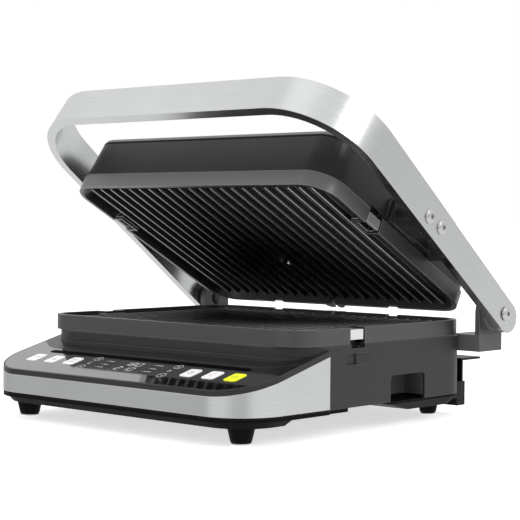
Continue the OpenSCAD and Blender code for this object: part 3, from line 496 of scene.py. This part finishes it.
wearer = {
    "base_tray": "underside", "base_housing": "housing", "steel_band": "band", "deck_frame": "bezel",
    "deck_glass": "panel", "display_window": "panel", "control_board": "board", "power_board": "board",
    "cord_gland": "gland", "foot_pads_front": "pad", "foot_pads_rear": "pad", "lower_plate": "lowerPlate",
    "upper_plate": "upperPlate", "lower_heater": "rod", "upper_heater": "rod", "lower_reflector": "sheet",
    "upper_reflector": "sheet", "drip_tray": "tray", "tray_fascia": "tray", "handle": "handle",
    "lid_housing": "lid", "rear_pan": "underside", "tray_bay_liner": "underside",
    "grip_pocket_left": "pocket", "grip_pocket_right": "pocket",
}
for name, node in nodes.items():
    if name in wearer:
        finish = wearer[name]
    elif name.startswith(("front_foot", "rear_foot")):
        finish = "underside"
    elif name.startswith("hinge_block"):
        finish = "hinge"
    elif "screw" in name:
        finish = "screw"
    elif name.startswith("arm_bracket"):
        finish = "bracket"
    elif name.startswith("lower_latch"):
        finish = "latchLight"
    elif name.startswith("upper_latch"):
        finish = "latchShadedCopy"
    else:
        finish = "keyYellow" if name == "key_6" else "keyWhite"
    if not node.material_slots:
        node.data.materials.append(finishes[finish])
    for socket in node.material_slots:
        socket.material = finishes[finish]
print("grill: CAD nodes dressed")

# mesh helpers


def addPiece(name, mesh, finish, body):
    piece = bpy.data.objects.new(name, mesh)
    piece.data.materials.append(finishes[finish])
    bpy.context.scene.collection.objects.link(piece)
    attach(piece, body)
    return piece


def prisms(name, outlines, thick, place, finish, body, soft=0.0):
    # flat outlines (lists of x, y in mm) raised by thick mm and put down with place
    made = bmesh.new()
    for outline in outlines:
        low = [made.verts.new((x * mm, y * mm, 0)) for x, y in outline]
        top = [made.verts.new((x * mm, y * mm, thick * mm)) for x, y in outline]
        made.faces.new(list(reversed(low)))
        made.faces.new(top)
        for i in range(len(low)):
            j = (i + 1) % len(low)
            made.faces.new((low[i], low[j], top[j], top[i]))
    if soft > 0:
        upper = [e for e in made.edges if all(v.co.z > thick * mm * 0.5 for v in e.verts)]
        bmesh.ops.bevel(made, geom=upper, offset=soft * mm, segments=2, profile=0.6, affect="EDGES")
    made.transform(place)
    mesh = bpy.data.meshes.new(name)
    made.to_mesh(mesh)
    made.free()
    return addPiece(name, mesh, finish, body)


def bar(x, y, w, h, turn=0.0, cut=0.0):
    # a bar round its middle, with cut corners
    c = min(cut, w / 2.01, h / 2.01)
    pts = [(-w / 2 + c, -h / 2), (w / 2 - c, -h / 2), (w / 2, -h / 2 + c), (w / 2, h / 2 - c),
           (w / 2 - c, h / 2), (-w / 2 + c, h / 2), (-w / 2, h / 2 - c), (-w / 2, -h / 2 + c)]
    s, k = math.sin(turn), math.cos(turn)
    return [(x + px * k - py * s, y + px * s + py * k) for px, py in pts]


def ringPieces(x, y, r, line, start=0.0, end=360.0, steps=24):
    # a ring or arc as short quads
    out = []
    for i in range(steps):
        a, b = (math.radians(start + (end - start) * (i + k) / steps) for k in (0, 1))
        out.append([(x + q * math.cos(t), y + q * math.sin(t))
                    for q, t in ((r, a), (r, b), (r - line, b), (r - line, a))][::-1])
    return out


# prints on the deck
deck = {"front": -166.5, "height": 43.2, "slope": 14.8, "row": 30.7, "inner": 71, "pitch": 24, "ink": 0.05,
        "mark": 4.3, "line": 0.55, "proud": 0.5}
deckTilt = Matrix.Rotation(math.radians(deck["slope"]), 4, "X")
onDeck = Matrix.Translation((0, deck["front"] * mm, deck["height"] * mm)) @ deckTilt
lift = Matrix.Translation((0, 0, 0.00002))


def plusMinus():
    rings, signs = [], []
    for x, y, plus in ((-49.3, 40.9, True), (-50.4, 21.0, False), (47.4, 40.8, True), (47.4, 20.4, False)):
        rings += ringPieces(x, y, deck["mark"], deck["line"], steps=32)
        signs.append(bar(x, y, 3.4, 0.6, cut=0.15))
        if plus:
            signs.append(bar(x, y, 0.6, 3.4, cut=0.15))
    prisms("deckRings", rings, deck["ink"], onDeck @ lift, "inkWhite", "base")
    prisms("deckSigns", signs, deck["ink"] + 0.01, onDeck @ lift, "inkWhite", "base")


def smallSymbols():
    # thermometer on the left, clock on the right, between the plus and minus rings
    out = ringPieces(-49.8, 29.4, 1.25, 0.45, steps=16)
    out += [bar(-49.8, 32.3, 0.5, 3.6), bar(-49.8, 29.4, 0.9, 0.9, cut=0.3)]
    out += ringPieces(46.4, 30.8, 2.0, 0.4, steps=20)
    out += [bar(46.4, 31.5, 0.35, 1.5), bar(46.95, 30.8, 1.2, 0.35)]
    prisms("deckSymbols", out, deck["ink"], onDeck @ lift, "inkWhite", "base")


def indicatorMarks():
    # rows of short bars beside the display, each with its dot
    out = []
    for x, rows, w in ((-30.8, (38.4, 31.0, 24.2), 7.5), (26.4, (39.3, 31.6, 24.5), 9.0)):
        for i, y in enumerate(rows):
            width = w - (1.4 if i == 1 else 0)
            out.append(bar(x + (0.8 if x < 0 else 0.4), y, width, 1.0, cut=0.4))
            out.append(bar(x - width / 2 - 1.3, y, 1.1, 1.1, cut=0.4))
    prisms("indicatorMarks", out, deck["ink"], onDeck @ lift, "inkMark", "base")


segments = {"0": "abcdef", "1": "bc", "2": "abged", "3": "abgcd", "4": "fgbc", "5": "afgcd", "6": "afgedc",
            "7": "abc", "8": "abcdefg", "9": "abcdfg"}
lcd = {"width": 5.0, "height": 7.0, "stroke": 0.95, "gap": 0.18, "pitch": 7.6, "lean": 0.10}


def digit(char, x, y):
    w, h, s, g = lcd["width"], lcd["height"], lcd["stroke"], lcd["gap"]
    spots = {"a": (0, h / 2, 0), "g": (0, 0, 0), "d": (0, -h / 2, 0), "f": (-w / 2, h / 4, 1),
             "b": (w / 2, h / 4, 1), "e": (-w / 2, -h / 4, 1), "c": (w / 2, -h / 4, 1)}
    out = []
    for key in segments[char]:
        px, py, upright = spots[key]
        long = (h / 2 if upright else w) - g * 2
        shape = bar(0, 0, s, long, cut=s / 2) if upright else bar(0, 0, long, s, cut=s / 2)
        out.append([(x + px + qx + (py + qy) * lcd["lean"], y + py + qy) for qx, qy in shape])
    return out


def displayDigits():
    out = []
    for text, y in (("180", 36.6), ("210", 26.0)):
        for i, char in enumerate(text):
            out += digit(char, -9.2 + i * lcd["pitch"], y)
    prisms("displayDigits", out, deck["ink"], onDeck @ lift, "digits", "base")
    frameLines = [bar(0, deck["row"] + s * 10.4, 33.4, 0.25) for s in (-1, 1)]
    frameLines += [bar(s * 16.6, deck["row"], 0.25, 20.6) for s in (-1, 1)]
    prisms("displayOutline", frameLines, deck["ink"], onDeck @ lift, "inkGrey", "base")


def keySymbols():
    # simple signs on the caps: upper plate, lower plate, both, clock, cycle, on/off
    raised = Matrix.Translation((0, 0, deck["proud"] * mm + 0.00002))
    ridges = [bar(q, 0, 0.45, 1.5) for q in (-2.4, -0.8, 0.8, 2.4)]
    upper = [bar(0, 1.6, 6.4, 0.55)] + ridges
    lower = [bar(0, -1.6, 6.4, 0.55)] + ridges
    both = [bar(0, 2.9, 6.4, 0.5), bar(0, -2.9, 6.4, 0.5)]
    both += [bar(q, s * 1.5, 0.45, 1.2) for q in (-2.4, -0.8, 0.8, 2.4) for s in (-1, 1)]
    clock = ringPieces(0, 0, 2.7, 0.5, steps=24) + [bar(0, 0.8, 0.45, 1.8), bar(0.7, 0, 1.6, 0.45)]
    cycle = ringPieces(0, 0, 2.6, 0.5, 40, 320, 22) + [bar(2.3, 1.2, 0.5, 1.8, 0.6)]
    power = ringPieces(0, -0.2, 2.6, 0.5, 120, 420, 22) + [bar(0, 1.6, 0.5, 2.8)]
    signs = (upper, lower, both, clock, cycle, power)
    for i, sign in enumerate(signs):
        x = (-1 if i < 3 else 1) * (deck["inner"] + (2 - i if i < 3 else i - 3) * deck["pitch"])
        there = onDeck @ Matrix.Translation((x * mm, deck["row"] * mm, 0)) @ raised
        ink = "inkPink" if i == 4 else "inkGrey"
        prisms("keySign%d" % (i + 1), sign, 0.03, there, ink, "key_%d" % (i + 1))


def deckShadeStrip():
    # a black strip across the glass: painted shade, standing for the dark reflection of the shaded housing
    # wall behind the keys
    prisms("deckShadeStrip", [bar(0, 48.6, 240, 6.0, cut=2.4)], 0.25, onDeck, "shadeStrip", "base", 0.1)


deckShadeStrip()
plusMinus()
smallSymbols()
indicatorMarks()
displayDigits()
keySymbols()
print("grill: deck prints made")

# small turned pieces
turned = {"steps": 40, "stud": (0, 0.0867, 0.0021), "recess": 0.768, "recessDepth": 0.7, "sharp": 35,
          "capFrom": 165.1}


def lathed(name, profile, places, finish, body, flats=0):
    # profile of (radius, height) in mm turned round the local z at each place
    # flats cuts a recess with that many sides in the top
    angles = [2 * math.pi * i / turned["steps"] for i in range(turned["steps"])]
    made = bmesh.new()

    def ring(place, h, radii):
        return [made.verts.new(place @ Vector((r * mm * math.cos(a), r * mm * math.sin(a), h * mm)))
                for a, r in zip(angles, radii)]

    for place in places:
        rings = [ring(place, h, [r] * len(angles)) for r, h in profile]
        if flats:
            r, h = profile[-1]
            across = [turned["recess"] * r / max(math.cos(a % (2 * math.pi / flats) - math.pi / flats), 0.5)
                      for a in angles]
            rings += [ring(place, h, across), ring(place, h - turned["recessDepth"], across)]
        for lower, upper in zip(rings, rings[1:]):
            for i in range(len(angles)):
                j = (i + 1) % len(angles)
                made.faces.new((lower[i], lower[j], upper[j], upper[i]))
        made.faces.new(list(reversed(rings[0])))
        made.faces.new(rings[-1])
    mesh = bpy.data.meshes.new(name)
    made.to_mesh(mesh)
    made.free()
    for face in mesh.polygons:
        face.use_smooth = True
    mesh.set_sharp_from_angle(angle=math.radians(turned["sharp"]))
    return addPiece(name, mesh, finish, body)


def padRims():
    # a pale rim round each pad, wide enough to show under its foot
    for name, x, y, r in (("padRimsFront", 127.0, -138.1, 7.9), ("padRimsRear", 116.8, 118.8, 6.4)):
        places = [Matrix.Translation((s * x * mm, y * mm, 0)) for s in (-1, 1)]
        lathed(name, ((r - 0.5, 0.0), (r, 0.25), (r, 1.1), (r - 0.5, 1.35)), places, "pad", "base")


def hingeCaps():
    # caps over the inner ends of the pivots
    for side, s in (("Left", -1), ("Right", 1)):
        inner = Matrix.Translation((s * turned["capFrom"] * mm, *hinge["at"][1:]))
        place = inner @ Matrix.Rotation(-s * math.pi / 2, 4, "Y")
        dome = ((6.4, 0.0), (6.4, 0.8), (5.6, 1.6), (3.4, 2.3), (1.2, 2.5))
        lathed("hingeCap" + side, dome, [place], "bracket", "base")


def plateStuds():
    # a screw between two ribs of each plate, where the photograph shows a pale spot on the upper one
    x, along, deep = turned["stud"]
    head = ((2.6, 0.0), (2.2, 3.2), (1.9, 4.0), (1.15, 4.3))
    pin = Matrix.Translation(hinge["at"])
    over = Matrix.Rotation(math.pi, 4, "X")
    upper = pin @ Matrix.Rotation(-hinge["open"], 4, "X") @ Matrix.Translation((x, -along, deep)) @ over
    lower = pin @ Matrix.Translation((x, -along, 2 * hinge["meet"] - deep))
    lathed("upperPlateStud", head, [upper], "screw", "lid", 6)
    lathed("lowerPlateStud", head, [lower], "screw", "base", 6)


def caseScrews():
    # domed screws with a six-sided recess in the floor pans
    head = ((3.4, -0.2), (3.4, 0.5), (2.8, 1.1), (1.6, 1.3))
    over = Matrix.Rotation(math.pi, 4, "X")
    spots = ((60, -150, 13.8), (130, -112, 13.8), (140, -20, 22.0), (130, 62, 12.4))
    places = [Matrix.Translation((s * x * mm, y * mm, z * mm)) @ over for s in (-1, 1) for x, y, z in spots]
    lathed("caseScrews", head, places, "screw", "base", 6)


padRims()
hingeCaps()
plateStuds()
caseScrews()
print("grill: small turned pieces made")

# studio
# "round" is the brightness round the horizon by compass angle, "rise" by the sine of the height
studio = {"floor": 0.80, "glow": 0.80, "back": 1.0, "top": 2.5, "key": 2.0, "side": 10.0,
          "round": ((-180, 0.50), (-128, 0.55), (-114, 0.92), (-80, 0.88), (-62, 0.60), (-40, 0.56),
                    (-22, 0.92), (-4, 1.10), (44, 1.0), (70, 0.95), (180, 0.55)),
          "rise": ((-0.1, 0.72), (0.1, 0.74), (0.35, 0.92), (0.67, 1.12), (0.9, 1.45)),
          "blend": (-0.10, 0.04), "below": 1.2, "belowBlend": (-0.18, -0.40), "size": 60.0}
bpy.context.scene.view_settings.view_transform = "Standard"


def makeFloor():
    made = bmesh.new()
    size = studio["size"]
    square = ((-1, -1), (1, -1), (1, 1), (-1, 1))
    corners = [made.verts.new((x * size, y * size, -0.0002)) for x, y in square]
    made.faces.new(corners)
    mesh = bpy.data.meshes.new("studioFloor")
    made.to_mesh(mesh)
    made.free()
    floor = bpy.data.objects.new("studioFloor", mesh)
    mat = Finish("studioPaper", Emission_Strength=studio["glow"])
    tooth = mat.noise(900, 3)
    shade = mat.blend(tooth, grey(studio["floor"] * 0.985), grey(studio["floor"]))
    mat.colour(shade)
    mat.feed(mat.shader, "Emission Color", shade)
    mat.rough(0.85 + (tooth - 0.5) * 0.1)
    floor.data.materials.append(mat.material)
    floor.visible_glossy = False
    bpy.context.scene.collection.objects.link(floor)


def makeLight(name, place, target, size, watts):
    data = bpy.data.lights.new(name, "AREA")
    data.shape = "RECTANGLE"
    data.size, data.size_y = size
    data.energy = watts
    light = bpy.data.objects.new(name, data)
    light.location = place
    light.rotation_mode = "QUATERNION"
    light.rotation_quaternion = (Vector(target) - Vector(place)).to_track_quat("-Z", "Y")
    bpy.context.scene.collection.objects.link(light)


def makeSky():
    # plain white behind the grill; the metal mirrors a room that brightens upwards
    # and changes round the horizon
    world = bpy.data.worlds.new("studio")
    world.use_nodes = True
    sky = Wiring(world.node_tree)
    toward = sky.node("ShaderNodeTexCoord", output="Generated")
    x, y, z = (sky.node("ShaderNodeSeparateXYZ", {}, {0: toward}, output=i) for i in range(3))
    compass = sky.node("ShaderNodeMath", {"operation": "ARCTAN2"}, {0: y, 1: x}) / (2 * math.pi) + 0.5
    lowStops = [(a / 360 + 0.5, v / 2) for a, v in studio["round"]]
    highStops = [((h + 1) / 2, v / 2) for h, v in studio["rise"]]
    low = sky.node("ShaderNodeValToRGB", {"stops": lowStops}, {0: compass})
    high = sky.node("ShaderNodeValToRGB", {"stops": highStops}, {0: z * 0.5 + 0.5})
    start, end = studio["blend"]
    level = sky.blend(((z - start) / (end - start)).clip(), low, high) * 2
    start, end = studio["belowBlend"]
    level = level + (studio["below"] - level) * ((z - start) / (end - start)).clip()
    direct = sky.node("ShaderNodeLightPath", output="Is Camera Ray")
    level = level + (studio["back"] - level) * direct
    out = sky.tree.nodes.new("ShaderNodeOutputWorld")
    shade = sky.blend(level, grey(0.0), grey(1.0))
    paper = sky.node("ShaderNodeBackground", {}, {"Color": shade, "Strength": 1.0})
    sky.tree.links.new(paper.socket, out.inputs[0])
    bpy.context.scene.world = world


makeFloor()
makeLight("topBox", (0.1, 0.1, 1.6), (0, 0, 0.1), (1.6, 1.6), studio["top"])
makeLight("keyBox", (-1.1, -1.0, 1.1), (0, 0, 0.15), (1.2, 1.2), studio["key"])
makeLight("sideBox", (1.9, 0.3, 1.35), (0, 0, 0.15), (0.8, 0.8), studio["side"])
makeSky()
print("grill: studio lit")
